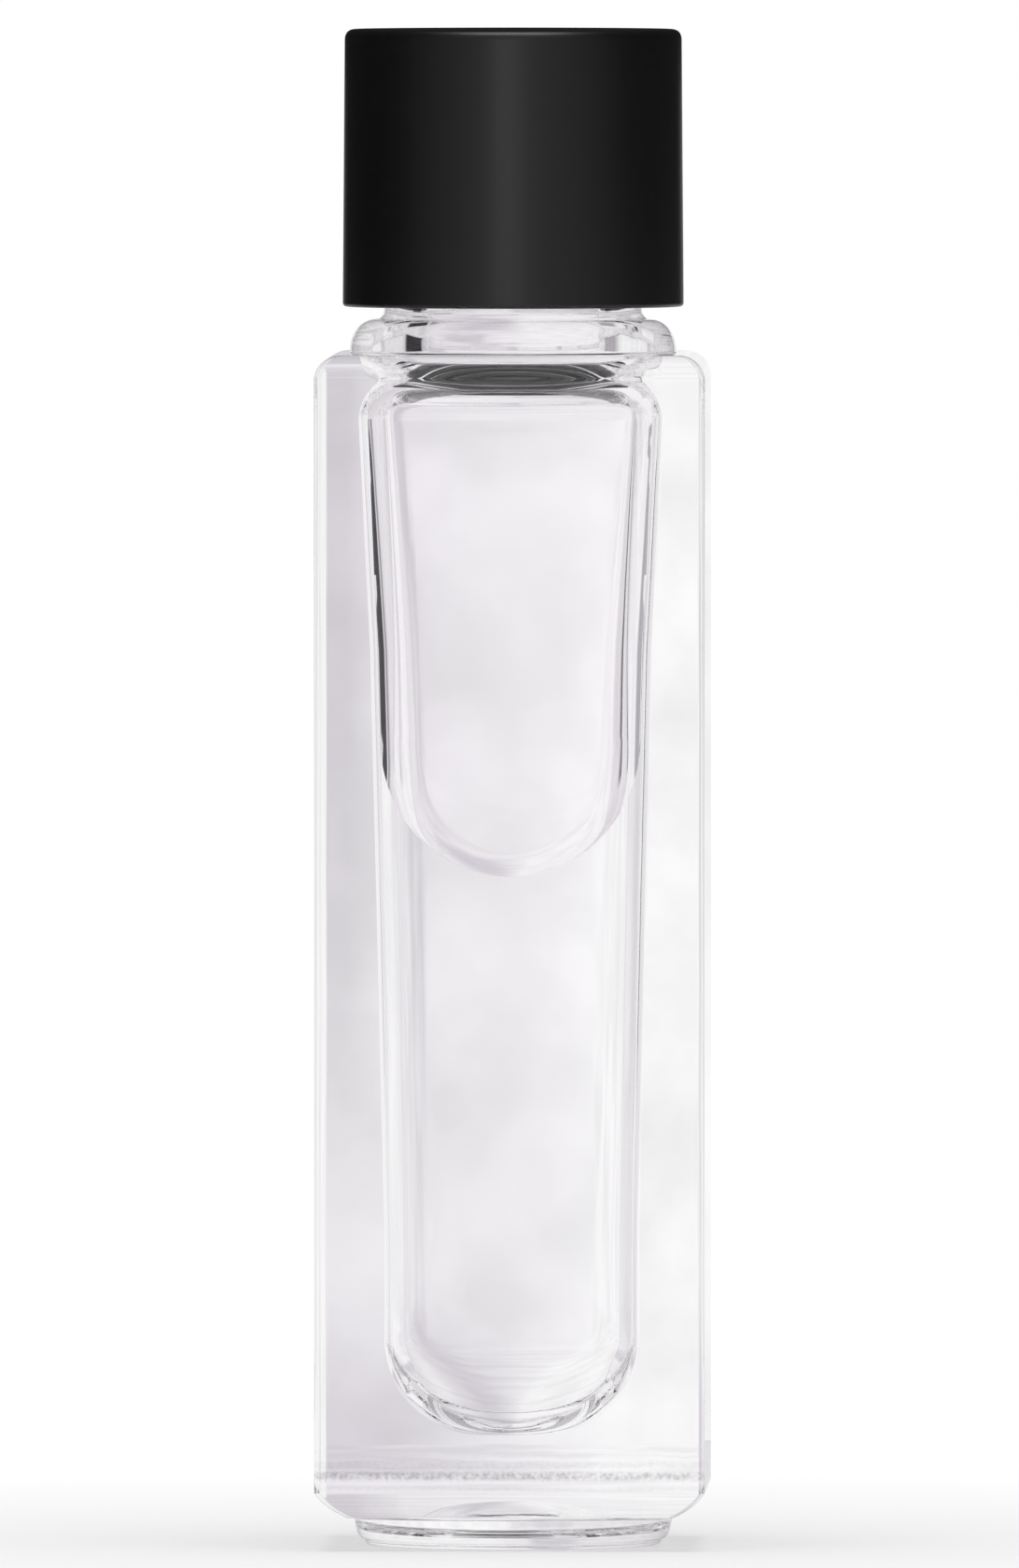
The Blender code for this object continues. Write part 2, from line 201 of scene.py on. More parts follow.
def satinBlackPlastic():
    # Black polypropylene moulded in a fine satin tool: deep, with a broad soft highlight and a faint grain.
    material, tree, shader = startMaterial("black polypropylene, satin moulded", "#0c0c0d", {
        "Roughness": 0.36, "IOR": 1.49})
    grain = noiseField(tree, 0.2, 2.0)  # the tool's grain is about 0.1 mm, too fine to show
    addBump(tree, shader, grain, 0.12, 0.02 * mm)
    sheen = mapField(tree, noiseField(tree, 11.1, 3.0), noiseSpan, (0.34, 0.38))
    tree.links.new(sheen, shader.inputs["Roughness"])
    tree.links.new(mixTones(tree, grain, "#0b0b0c", "#0e0e0f"), shader.inputs["Base Color"])
    return material


def closurePlastic():
    # Black polypropylene, moulded with a plain finish: duller than the shell, with flow marks.
    material, tree, shader = startMaterial("black polypropylene, plain moulded", "#141416", {
        "Roughness": 0.5, "IOR": 1.49})
    flow = noiseField(tree, (3.85, 3.85, 12.8), 3.0)
    tree.links.new(mapField(tree, flow, noiseSpan, (0.44, 0.58)), shader.inputs["Roughness"])
    tree.links.new(mixTones(tree, flow, "#121214", "#18181a"), shader.inputs["Base Color"])
    addBump(tree, shader, noiseField(tree, 0.417, 2.0), 0.15, 0.03 * mm)
    return material


def linerFoam():
    # Foamed polyethylene liner, skived from sheet: white, with closed cells about 0.3 mm across.
    material, tree, shader = startMaterial("polyethylene foam, closed cell", "#efefec", {
        "Roughness": 0.75, "IOR": 1.5})
    cells = addNode(tree, "ShaderNodeTexVoronoi", {
        "Vector": objectPlace(tree), "Scale": 1 / (0.303 * mm)}).outputs["Distance"]
    tree.links.new(mixTones(tree, cells, "#f2f2ef", "#dededa"), shader.inputs["Base Color"])
    addBump(tree, shader, cells, 0.3, 0.05 * mm)
    return material


def naturalPolyethylene():
    # Low density polyethylene, natural: milky and waxy, with soft sink marks.
    material, tree, shader = startMaterial("natural polyethylene, moulded", "#ecece8", {
        "Roughness": 0.42, "IOR": 1.51})
    haze = noiseField(tree, 2.5, 3.0)
    tree.links.new(mixTones(tree, haze, "#f0f0ec", "#e4e4df"), shader.inputs["Base Color"])
    tree.links.new(mapField(tree, haze, noiseSpan, (0.36, 0.48)), shader.inputs["Roughness"])
    addBump(tree, shader, noiseField(tree, 2.86, 1.0), 0.15, 0.05 * mm)
    return material


# glass bottle
bottleSizes = {  # millimetres
    "half": 14.1, "corner": 0.5, "edgeInset": 1.9, "edgeRise": 1.8, "bodyTop": 86.35,
    "underInset": 2.35, "underRise": 1.9, "underBend": (0.6, 0.85),  # the slope under the body, and its bend
    "footRise": 2.35, "footRadius": 11.5, "footBaseRadius": 10.35, "footEdge": 0.4, "footRing": 2.95,
    "pushUpDepth": 0.6, "pushUpFlat": 3.0, "fillet": 0.2, "cornerGuard": 0.35,
    "collarRadius": 11.8, "collarSide": 0.3, "collarRise": 2.45, "rootFlare": 0.55, "rootRise": 0.7,
    "beadRadius": 9.35, "beadTop": 90.8, "beadEdge": 0.25, "beadSlope": 0.5, "neckRadius": 8.8,
    "boreRadius": 6.75, "landHeight": 105.0, "landEdge": 0.4,
    "threadDepth": 1.1, "threadHalfWidth": 1.15, "threadTop": 102.5, "pitch": 3.175, "turns": 1.5,
    "threadFade": 0.09, "tonerTop": 98.8,
}
cavitySizes = {  # millimetres; walls is height, the thickness of glass beside it and the corner's radius
    "floor": 8.1, "floorFlat": 2.2, "floorRound": 6.8,
    "walls": ((14.9, 4.95, 3.2), (22.58, 4.95, 3.2), (43.97, 4.45, 3.4), (64.99, 3.95, 3.3),
              (81.6, 3.15, 2.5)),
    "ceilingTop": 85.1, "ceilingHalf": 7.5, "leadTop": 85.4, "leadRadius": 7.0, "boreFoot": 86.6,
}
roundSteps = 192
cornerSteps = 24
curveSteps = 28  # along the cavity's floor, and along its ceiling
wallSteps = 24
leadSteps = 6
neckSteps = 90


def contourRadius(half, corner, turn):  # how far the side of a rounded square is from its middle
    across = abs(math.cos(turn))
    along = abs(math.sin(turn))
    flat = half - corner
    if flat < 1e-6:
        return half
    if half * min(across, along) / max(across, along) <= flat:
        return half / max(across, along)
    reach = flat * (across + along)
    return reach + math.sqrt(reach * reach - 2 * flat * flat + corner * corner)


def evenLoop(shape, height, half, corner=None, relief=None):
    loop = []
    for step in range(roundSteps):
        turn = 2 * math.pi * (step + 0.5) / roundSteps
        radius = contourRadius(half, half if corner is None else corner, turn)
        radius += relief(turn, height) if relief else 0.0
        place = (radius * math.cos(turn), radius * math.sin(turn), height)
        loop.append(shape.verts.new([along * mm for along in place]))
    return loop


def squareLoop(shape, height, half, corner):
    loop = []
    guard = bottleSizes["cornerGuard"]  # a strip beside each corner, so that the wide face shades flat
    for quarter in range(4):
        places = [(corner, -guard)]
        for step in range(cornerSteps + 1):
            turn = math.pi / 2 * step / cornerSteps
            places.append((corner * math.cos(turn), corner * math.sin(turn)))
        places.append((-guard, corner))
        for x, y in places:
            x += half - corner
            y += half - corner
            for step in range(quarter):
                x, y = -y, x
            loop.append(shape.verts.new((x * mm, y * mm, height * mm)))
    return loop


def joinLoops(shape, low, high, materialIndex=0):
    for i, vert in enumerate(low):
        j = (i + 1) % len(low)
        face = shape.faces.new((vert, low[j], high[j], high[i]))
        face.material_index = materialIndex


def joinAll(shape, loops):
    for low, high in zip(loops, loops[1:]):
        joinLoops(shape, low, high)


def closeLoops(shape, loops):
    joinAll(shape, loops)
    shape.faces.new(loops[0])
    shape.faces.new(loops[-1])
    bmesh.ops.recalc_face_normals(shape, faces=shape.faces)


def joinFlat(shape, inner, outer):  # a flat ring of triangles between loops of different counts
    edges = []
    for loop in (inner, outer):
        edges += [shape.edges.get((vert, loop[(i + 1) % len(loop)])) for i, vert in enumerate(loop)]
    bmesh.ops.triangle_fill(shape, use_beauty=True, use_dissolve=False, edges=edges)


def easedPlaces(start, end, steps, levelFirst):  # a quarter of an ellipse, past start and up to end
    places = []
    for step in range(1, steps + 1):
        turn = math.pi / 2 * step / steps
        rise, reach = math.sin(turn), 1 - math.cos(turn)
        if levelFirst:
            rise, reach = reach, rise
        height = start[0] + (end[0] - start[0]) * rise
        places.append((height,) + tuple(a + (b - a) * reach for a, b in zip(start[1:], end[1:])))
    return places


def straightPlaces(start, end, steps):  # past start and up to end
    return [tuple(a + (b - a) * step / steps for a, b in zip(start, end)) for step in range(1, steps + 1)]


def bentPlaces(start, bend, end, steps):  # from start to end, drawn towards bend
    places = []
    for step in range(steps + 1):
        share = step / steps
        weights = ((1 - share) ** 2, 2 * share * (1 - share), share ** 2)
        places.append(tuple(sum(w * p for w, p in zip(weights, trio)) for trio in zip(start, bend, end)))
    return places


def wallAndCorner(height):  # between the measured ones
    known = cavitySizes["walls"]
    for low, high in zip(known, known[1:]):
        if height <= high[0]:
            share = max(0.0, (height - low[0]) / (high[0] - low[0]))
            return [a + (b - a) * share for a, b in zip(low[1:], high[1:])]
    return known[-1][1:]


def cavityPlaces(gap=0.0):  # (height, half, corner) from the cavity's floor up to the foot of the bore
    size = cavitySizes
    half = bottleSizes["half"]
    floor = size["floor"] + gap
    wall, corner = wallAndCorner(0.0)
    lowHalf = half - wall - gap
    places = [(floor, size["floorFlat"] / 2, size["floorFlat"] / 2)]
    places.append((floor, size["floorFlat"], size["floorFlat"]))
    curve = easedPlaces((floor, size["floorFlat"]), (floor + size["floorRound"], lowHalf), curveSteps, True)
    for step, (height, reach) in enumerate(curve, 1):
        squareShare = (step / len(curve)) ** 2
        places.append((height, reach, reach - (reach - corner) * squareShare))
    wallTop = size["walls"][-1][0]
    start = floor + size["floorRound"]
    for step in range(1, wallSteps + 1):
        height = start + (wallTop - start) * step / wallSteps
        wall, corner = wallAndCorner(height)
        places.append((height, half - wall - gap, corner))
    ceiling = (size["ceilingTop"] - gap, size["ceilingHalf"] - gap, corner)
    places += easedPlaces(places[-1], ceiling, curveSteps, False)
    lead = (size["leadTop"] - gap, size["leadRadius"] - gap, size["leadRadius"] - gap)
    bore = bottleSizes["boreRadius"] - gap
    places += straightPlaces(ceiling, lead, leadSteps)
    return places + straightPlaces(lead, (size["boreFoot"], bore, bore), leadSteps)


def ridgeShare(away):  # a ridge's height from its middle, at 0, to its foot, at 1
    flattened = 1.35  # a cosine bulge, raised by this and cut flat on top
    return min(1.0, flattened * (0.5 + 0.5 * math.cos(math.pi * away)))


def threadRelief(turn, height):  # how far the neck's thread stands out of the neck here
    size = bottleSizes
    start = size["threadTop"] - size["pitch"] * size["turns"]
    relief = 0.0
    for winding in range(-1, 3):
        along = turn / (2 * math.pi) + winding
        if not 0 <= along <= size["turns"]:
            continue
        away = abs(height - start - size["pitch"] * along) / size["threadHalfWidth"]
        if away >= 1:
            continue
        end = min(along, size["turns"] - along) / size["threadFade"]
        fade = 1.0 if end >= 1 else end * end * (3 - 2 * end)
        relief = max(relief, size["threadDepth"] * fade * ridgeShare(away))
    return relief


def makeBottle(glass, wetted):
    size = bottleSizes
    shape = bmesh.new()
    loops = []
    for height, half, corner in cavityPlaces():
        loops.append(evenLoop(shape, height, half, corner))
    for step in range(1, 13):  # the bore, up to its toner and then to the land
        height = size["tonerTop"] - (size["tonerTop"] - cavitySizes["boreFoot"]) * (1 - step / 12)
        loops.append(evenLoop(shape, height, size["boreRadius"]))
    wettedCount = len(loops)
    inside = (size["landHeight"] - size["landEdge"], size["boreRadius"])
    landInside = (size["landHeight"], size["boreRadius"] + size["landEdge"])
    landOutside = (size["landHeight"], size["neckRadius"] - size["landEdge"])
    outside = (size["landHeight"] - size["landEdge"], size["neckRadius"])
    places = [inside] + easedPlaces(inside, landInside, 6, False) + [landOutside]
    places += easedPlaces(landOutside, outside, 6, True)
    beadSlopeTop = size["beadTop"] + size["beadSlope"]
    places += straightPlaces(outside, (beadSlopeTop, size["neckRadius"]), neckSteps)
    collarTop = size["bodyTop"] + size["collarRise"]
    beadFoot = (collarTop + size["rootRise"], size["beadRadius"])
    beadTop = (size["beadTop"], size["beadRadius"])
    beadMiddle = (size["beadTop"] - size["beadEdge"], size["beadRadius"])
    root = (collarTop, size["beadRadius"] + size["rootFlare"])
    places += easedPlaces(places[-1], beadTop, 6, True) + [beadMiddle, beadFoot]
    places += easedPlaces(beadFoot, root, 8, False)
    collarSide = (size["bodyTop"] + size["collarSide"], size["collarRadius"])
    places += easedPlaces(root, collarSide, 20, True)
    filletTop = (size["bodyTop"] + size["fillet"], size["collarRadius"])
    places.append(filletTop)
    places += easedPlaces(filletTop, (size["bodyTop"], size["collarRadius"] + size["fillet"]), 5, False)
    for height, radius in places:
        loops.append(evenLoop(shape, height, radius, relief=threadRelief))
    for i, (low, high) in enumerate(zip(loops, loops[1:])):
        joinLoops(shape, low, high, 1 if i + 1 < wettedCount else 0)
    floorFace = shape.faces.new(loops[0])
    floorFace.material_index = 1

    shoulder = (size["bodyTop"], size["half"] - size["edgeInset"])
    sideTop = (size["bodyTop"] - size["edgeRise"], size["half"])
    sideBottom = (size["footRise"] + size["underRise"], size["half"])
    bendInset, bendRise = size["underBend"]
    bend = (size["footRise"] + bendRise, size["half"] - bendInset)
    under = (size["footRise"], size["half"] - size["underInset"])
    places = [shoulder] + easedPlaces(shoulder, sideTop, 16, True)
    for share in (0.01, 0.33, 0.67, 0.99):  # loops close to both ends, so that the sides shade flat
        places.append((sideTop[0] + (sideBottom[0] - sideTop[0]) * share, size["half"]))
    places += bentPlaces(sideBottom, bend, under, 12)
    sides = [squareLoop(shape, height, half, size["corner"]) for height, half in places]
    joinAll(shape, sides)
    joinFlat(shape, loops[-1], sides[0])

    filletOut = (size["footRise"], size["footRadius"] + size["fillet"])
    footSide = (size["footRise"] - size["fillet"], size["footRadius"])
    footEdge = (size["footEdge"], size["footBaseRadius"] + size["footEdge"])
    footFlat = (0.0, size["footBaseRadius"])
    places = [filletOut] + easedPlaces(filletOut, footSide, 5, True)
    places += easedPlaces(footSide, footEdge, 10, False) + easedPlaces(footEdge, footFlat, 8, False)
    ringInside = (0.0, size["footBaseRadius"] - size["footRing"])
    pushUp = (size["pushUpDepth"], size["pushUpFlat"])
    places.append(ringInside)
    for step in range(1, 13):
        share = step / 12
        eased = share * share * (3 - 2 * share)
        places.append((pushUp[0] * eased, ringInside[1] + (pushUp[1] - ringInside[1]) * share))
    foot = [evenLoop(shape, height, radius) for height, radius in places]
    joinAll(shape, foot)
    shape.faces.new(foot[-1])
    joinFlat(shape, foot[0], sides[-1])
    bmesh.ops.recalc_face_normals(shape, faces=shape.faces)
    return pieceFromShape("glassBottle", shape, [glass, wetted])


# toner, with the air bubble behind the front glass
tonerSizes = {  # millimetres
    "film": 0.03, "bubbleFilm": 0.06, "endDepth": 1.65, "topDepth": 9.0, "bubbleLength": 22.9,
    "endDrop": 10.0, "margin": 0.2, "lip": 1.7, "overrun": 1.4,
    "lowLipShare": 1.65, "topLipShare": 0.1,  # the curved edge is wider low down
}


def bubbleOutline(inset):  # (x, height) from the top right round its lower end to the top left
    size = tonerSizes
    half = bottleSizes["half"]
    wallTop, topWall = cavitySizes["walls"][-1][:2]
    midWall = cavitySizes["walls"][2][1]
    top = bottleSizes["tonerTop"] + size["overrun"]
    shoulder = wallTop - size["bubbleLength"]
    lowHalf = half - midWall - size["margin"] - inset * size["lowLipShare"]
    topHalf = half - topWall - inset * size["topLipShare"]
    endDrop = size["endDrop"] - inset
    points = [(topHalf, top)]
    for step in range(97):
        turn = math.pi * step / 96
        points.append((lowHalf * math.cos(turn), shoulder - endDrop * math.sin(turn)))
    points.append((-topHalf, top))
    return points


def makeBubbleCutter():
    size = tonerSizes
    half = bottleSizes["half"]
    front = cavitySizes["walls"][-1][1] - half - size["overrun"]
    lipStart = cavitySizes["walls"][2][1] - half + size["endDepth"] - size["lip"]
    places = [(lipStart, 0.0)]
    for step in range(1, 17):
        turn = math.pi / 2 * step / 16
        places.append((lipStart + size["lip"] * math.sin(turn), size["lip"] * (1 - math.cos(turn))))
    low = cavitySizes["walls"][-1][0] - size["bubbleLength"] - size["endDrop"]
    lean = (size["topDepth"] - size["endDepth"]) / (cavitySizes["walls"][-1][0] - low)
    shape = bmesh.new()
    loops = [[shape.verts.new((x * mm, front * mm, z * mm)) for x, z in bubbleOutline(0.0)]]
    for y, inset in places:
        loops.append([shape.verts.new((x * mm, (y + lean * (z - low)) * mm, z * mm))
                      for x, z in bubbleOutline(inset)])
    closeLoops(shape, loops)
    return pieceFromShape("bubbleCutter", shape, [])


def liquidShape(gap, top):  # the inside of the cavity, moved in by gap
    shape = bmesh.new()
    loops = [evenLoop(shape, *place) for place in cavityPlaces(gap)]
    loops.append(evenLoop(shape, top, bottleSizes["boreRadius"] - gap))
    closeLoops(shape, loops)
    return shape


def makeToner(toner, surface):
    size = tonerSizes
    bubbleTop = bottleSizes["tonerTop"] - size["film"]
    bubble = pieceFromShape("bubble", liquidShape(size["bubbleFilm"], bubbleTop), [])
    cutter = makeBubbleCutter()
    cut = bubble.modifiers.new("Bubble", "BOOLEAN")
    cut.object = cutter
    cut.operation = "INTERSECT"
    cut.solver = "EXACT"
    air = bakedMesh(bubble, "air")
    for helper in (bubble, cutter):
        bpy.data.objects.remove(helper, do_unlink=True)
    shape = liquidShape(size["film"], bottleSizes["tonerTop"])
    liquidFaces = len(shape.faces)
    shape.from_mesh(air)
    shape.faces.ensure_lookup_table()
    airFaces = shape.faces[liquidFaces:]
    for face in airFaces:
        face.material_index = 1
    bmesh.ops.reverse_faces(shape, faces=airFaces)
    return pieceFromShape("tonerFill", shape, [toner, surface])


# pieces made by node trees
def startTree(name, inputs):  # kinds of socket by name, between the source mesh and the finish
    tree = bpy.data.node_groups.new(name, "GeometryNodeTree")
    for socket, kind in {"Source": "Geometry", **inputs, "Finish": "Material"}.items():
        tree.interface.new_socket(socket, in_out="INPUT", socket_type="NodeSocket" + kind)
    tree.interface.new_socket("Piece", in_out="OUTPUT", socket_type="NodeSocketGeometry")
    return tree, addNode(tree, "NodeGroupInput").outputs


def endTree(tree, geometry, finish):
    real = addNode(tree, "GeometryNodeRealizeInstances", {"Geometry": geometry})
    finished = addNode(tree, "GeometryNodeSetMaterial", {
        "Geometry": real.outputs["Geometry"], "Material": finish})
    addNode(tree, "NodeGroupOutput", {"Piece": finished.outputs["Geometry"]})
    return tree


def pieceFromTree(name, tree, points, closed, material, values, sharpDegrees=35):
    count = len(points)
    edges = [(i, (i + 1) % count) for i in range(count if closed else count - 1)]
    mesh = bpy.data.meshes.new(name + " source")
    mesh.from_pydata(points, edges, [])
    source = keepMesh(name + "Source", mesh, [])
    modifier = source.modifiers.new(tree.name, "NODES")
    modifier.node_group = tree
    values = {**values, "Finish": material}
    for item in tree.interface.items_tree:
        if item.item_type == "SOCKET" and item.in_out == "INPUT" and item.name in values:
            modifier[item.identifier] = values[item.name]
    made = bakedMesh(source, name)
    bpy.data.objects.remove(source, do_unlink=True)
    made.materials.clear()
    made.shade_smooth()
    made.set_sharp_from_angle(angle=math.radians(sharpDegrees))
    return keepMesh(name, made, [material])


def turningTree():  # an outline of (radius, height), down its outer side, is carried round a ring
    tree, given = startTree("carry an outline round a ring", {
        "Ring Radius": "Float", "Ring Steps": "Int", "Weld Distance": "Float"})
    ring = addNode(tree, "GeometryNodeCurvePrimitiveCircle", {
        "mode": "RADIUS", "Resolution": given["Ring Steps"], "Radius": given["Ring Radius"]})
    outline = addNode(tree, "GeometryNodeMeshToCurve", {"Mesh": given["Source"]})
    carried = addNode(tree, "GeometryNodeCurveToMesh", {
        "Curve": ring.outputs["Curve"], "Profile Curve": outline.outputs["Curve"]})
    welded = addNode(tree, "GeometryNodeMergeByDistance", {
        "Geometry": carried.outputs["Mesh"], "Distance": given["Weld Distance"]})
    return endTree(tree, welded.outputs["Geometry"], given["Finish"])


def turnedPiece(name, tree, outline, material, steps=144):
    ringRadius = 0.02  # the outline is carried round a ring that is wider than any piece
    points = [(radius * mm - ringRadius, -height * mm, 0.0) for radius, height in outline]
    closed = outline[0][0] > 0 or outline[-1][0] > 0
    return pieceFromTree(name, tree, points, closed, material, {
        "Ring Radius": ringRadius, "Ring Steps": steps, "Weld Distance": 0.002 * mm})


def roundedOutline(corners, steps=6):  # (radius, height, rounding) corners, each rounding made an arc
    outline = []
    for i, (radius, height, rounding) in enumerate(corners):
        if not rounding:
            outline.append((radius, height))
            continue
        here = (radius, height)
        sides = []
        for other in (corners[i - 1], corners[(i + 1) % len(corners)]):
            run = math.dist(here, other[:2])
            sides.append(((other[0] - radius) / run, (other[1] - height) / run))
        (ax, ay), (bx, by) = sides
        start = (radius + ax * rounding, height + ay * rounding)
        end = (radius + bx * rounding, height + by * rounding)
        for step in range(steps + 1):
            share = step / steps
            near, far = (1 - share) ** 2, share ** 2
            middle = 2 * share * (1 - share)
            outline.append((near * start[0] + middle * radius + far * end[0],
                            near * start[1] + middle * height + far * end[1]))
    return outline


# cap shell
capSizes = {  # millimetres
    "top": 109.8, "bottom": 89.7, "topRadius": 12.2, "bottomRadius": 12.35, "wall": 0.95, "roof": 108.7,
    "topEdge": 0.8, "roofEdge": 0.6, "lip": 0.32,
}


def makeCapShell(tree, material):
    size = capSizes
    corners = [
        (0.0, size["top"], 0),
        (size["topRadius"], size["top"], size["topEdge"]),
        (size["bottomRadius"], size["bottom"], size["lip"]),
        (size["bottomRadius"] - size["wall"], size["bottom"], size["lip"]),
        (size["topRadius"] - size["wall"], size["roof"], size["roofEdge"]),
        (0.0, size["roof"], 0),
    ]
    return turnedPiece("capShell", tree, roundedOutline(corners, 10), material, 192)


# inner cap, pressed inside the shell
innerCapSizes = {  # millimetres
    "bottom": 90.3, "top": 108.4, "ceiling": 107.5, "bore": 10.1, "radius": 10.95,
    "topEdge": 0.6, "mouthEdge": 0.15, "mouthLead": 0.4, "softEdge": 0.1, "ceilingEdge": 0.3,
    "threadStart": 96.15, "threadReach": 1.0, "threadRoot": 0.8, "threadSunk": 0.25, "pitch": 3.175,
    "turns": 1.5, "threadFade": 0.06, "ribs": 60, "ribReach": 0.22, "ribWidth": 0.42, "ribFoot": 0.5,
    "ribHead": 1.6,
}


def makeInnerCap(tree, material):
    size = innerCapSizes
    corners = [
        (0.0, size["top"], 0),
        (size["radius"], size["top"], size["topEdge"]),
        (size["radius"], size["bottom"], size["mouthEdge"]),
        (size["bore"] + size["mouthLead"], size["bottom"], size["softEdge"]),
        (size["bore"], size["bottom"] + size["mouthLead"], size["softEdge"]),
        (size["bore"], size["ceiling"], size["ceilingEdge"]),
        (0.0, size["ceiling"], 0),
    ]
    return turnedPiece("innerCap", tree, roundedOutline(corners, 5), material, 144)


def threadTree():
    tree, given = startTree("ridge that climbs round a bore", {
        "Bore Radius": "Float", "Climb": "Float", "Turns": "Float", "End Share": "Float", "Steps": "Int"})
    spiral = addNode(tree, "GeometryNodeCurveSpiral", {
        "Reverse": True,  # so that it climbs anticlockwise
        "Resolution": given["Steps"], "Rotations": given["Turns"], "Height": given["Climb"],
        "Start Radius": given["Bore Radius"], "End Radius": given["Bore Radius"]})
    upright = addNode(tree, "GeometryNodeSetCurveNormal", {"mode": "Z_UP", "Curve": spiral.outputs["Curve"]})
    along = addNode(tree, "GeometryNodeSplineParameter").outputs["Factor"]
    nearest = calculate(tree, "MINIMUM", along, calculate(tree, "SUBTRACT", 1.0, along))
    fade = addNode(tree, "ShaderNodeMapRange", {
        "interpolation_type": "SMOOTHSTEP", "Value": nearest, "From Max": given["End Share"]})
    section = addNode(tree, "GeometryNodeMeshToCurve", {"Mesh": given["Source"]})
    ridge = addNode(tree, "GeometryNodeCurveToMesh", {
        "Curve": upright.outputs["Curve"], "Profile Curve": section.outputs["Curve"],
        "Scale": fade.outputs["Result"], "Fill Caps": True})
    return endTree(tree, ridge.outputs["Mesh"], given["Finish"])


def makeCapThread(material):
    size = innerCapSizes
    points = [(size["threadSunk"] * mm, size["threadRoot"] * mm, 0.0)]
    for step in range(13):
        place = -1 + 2 * step / 12
        inward = size["threadReach"] * ridgeShare(place)
        points.append((-inward * mm, -place * size["threadRoot"] * mm, 0.0))
    points.append((size["threadSunk"] * mm, -size["threadRoot"] * mm, 0.0))
    thread = pieceFromTree("capThread", threadTree(), points, True, material, {
        "Bore Radius": size["bore"] * mm, "Climb": size["pitch"] * size["turns"] * mm,
        "Turns": size["turns"], "End Share": size["threadFade"], "Steps": 96}, 180)
    for vertex in thread.data.vertices:
        vertex.co.z += size["threadStart"] * mm
    return thread


def ribsTree():
    tree, given = startTree("ribs round a drum", {
        "Drum Radius": "Float", "Rib Width": "Float", "Rib Reach": "Float", "Rib Height": "Float",
        "Middle Height": "Float", "Ribs": "Int"})
    ring = addNode(tree, "GeometryNodeCurvePrimitiveCircle", {
        "mode": "RADIUS", "Resolution": given["Ribs"], "Radius": given["Drum Radius"]})
    places = addNode(tree, "GeometryNodeCurveToPoints", {
        "mode": "EVALUATED", "Curve": ring.outputs["Curve"]})
    rib = addNode(tree, "GeometryNodeMeshCylinder", {
        "Vertices": 8, "fill_type": "NGON", "Radius": given["Rib Reach"], "Depth": given["Rib Height"]})
    lift = addNode(tree, "ShaderNodeCombineXYZ", {"Z": given["Middle Height"]})
    wide = addNode(tree, "ShaderNodeCombineXYZ", {
        "X": 1.0, "Y": calculate(tree, "DIVIDE", given["Rib Width"], given["Rib Reach"]), "Z": 1.0})
    turn = addNode(tree, "FunctionNodeAlignRotationToVector", {
        "axis": "Y", "Vector": places.outputs["Tangent"]})
    copies = addNode(tree, "GeometryNodeInstanceOnPoints", {
        "Points": places.outputs["Points"], "Instance": rib.outputs["Mesh"],
        "Rotation": turn.outputs["Rotation"], "Scale": wide.outputs["Vector"]})
    raised = addNode(tree, "GeometryNodeTransform", {
        "Geometry": copies.outputs["Instances"], "Translation": lift.outputs["Vector"]})
    return endTree(tree, raised.outputs["Geometry"], given["Finish"])


def makeGripRibs(material):
    size = innerCapSizes
    low = size["bottom"] + size["ribFoot"]
    high = size["top"] - size["ribHead"]
    return pieceFromTree("gripRibs", ribsTree(), [], False, material, {
        "Drum Radius": size["radius"] * mm, "Rib Width": size["ribWidth"] / 2 * mm,
        "Rib Reach": size["ribReach"] * mm, "Rib Height": (high - low) * mm,
        "Middle Height": (high + low) / 2 * mm, "Ribs": size["ribs"]}, 50)


# liner and pouring insert
linerSizes = {"radius": 9.8, "bottom": 106.2, "top": 107.2, "edge": 0.2}  # millimetres
insertSizes = {  # millimetres
    "flangeRadius": 8.0, "top": 105.9, "flange": 0.6, "radius": 6.45, "depth": 6.2, "wall": 0.8,
    "floor": 1.0, "hole": 1.2, "lead": 0.6, "sealReach": 0.16, "sealHalf": 0.35,
    "seals": (0.25, 0.5, 0.75),  # where the sealing rings that grip the bore are, in shares of the depth
    "edge": 0.15, "softEdge": 0.1, "sealEdge": 0.12, "floorEdge": 0.2,
}


def makeLiner(tree, material):
    size = linerSizes
    corners = [(0.0, size["top"], 0), (size["radius"], size["top"], size["edge"]),
               (size["radius"], size["bottom"], size["edge"]), (0.0, size["bottom"], 0)]
    return turnedPiece("linerDisc", tree, roundedOutline(corners, 5), material, 144)


def makeInsert(tree, material):
    size = insertSizes
    under = size["top"] - size["flange"]
    bottom = under - size["depth"]
    well = size["radius"] - size["wall"]
    soft = size["softEdge"]
    corners = [
        (size["flangeRadius"], size["top"], size["edge"]),
        (size["flangeRadius"], under, size["edge"]),
        (size["radius"], under, soft),
    ]
    for share in size["seals"]:
        middle = under - size["depth"] * share
        corners += [(size["radius"], middle + size["sealHalf"], soft),
                    (size["radius"] + size["sealReach"], middle, size["sealEdge"]),
                    (size["radius"], middle - size["sealHalf"], soft)]
    corners += [
        (size["radius"], bottom + size["lead"], soft),
        (size["radius"] - size["lead"], bottom, soft),
        (size["hole"], bottom, soft),
        (size["hole"], bottom + size["floor"], size["floorEdge"]),
        (well - size["lead"], bottom + size["floor"], soft),
        (well, bottom + size["floor"] + size["lead"], soft),
        (well, size["top"], size["edge"]),
    ]
    return turnedPiece("pourInsert", tree, roundedOutline(corners, 4), material, 96)


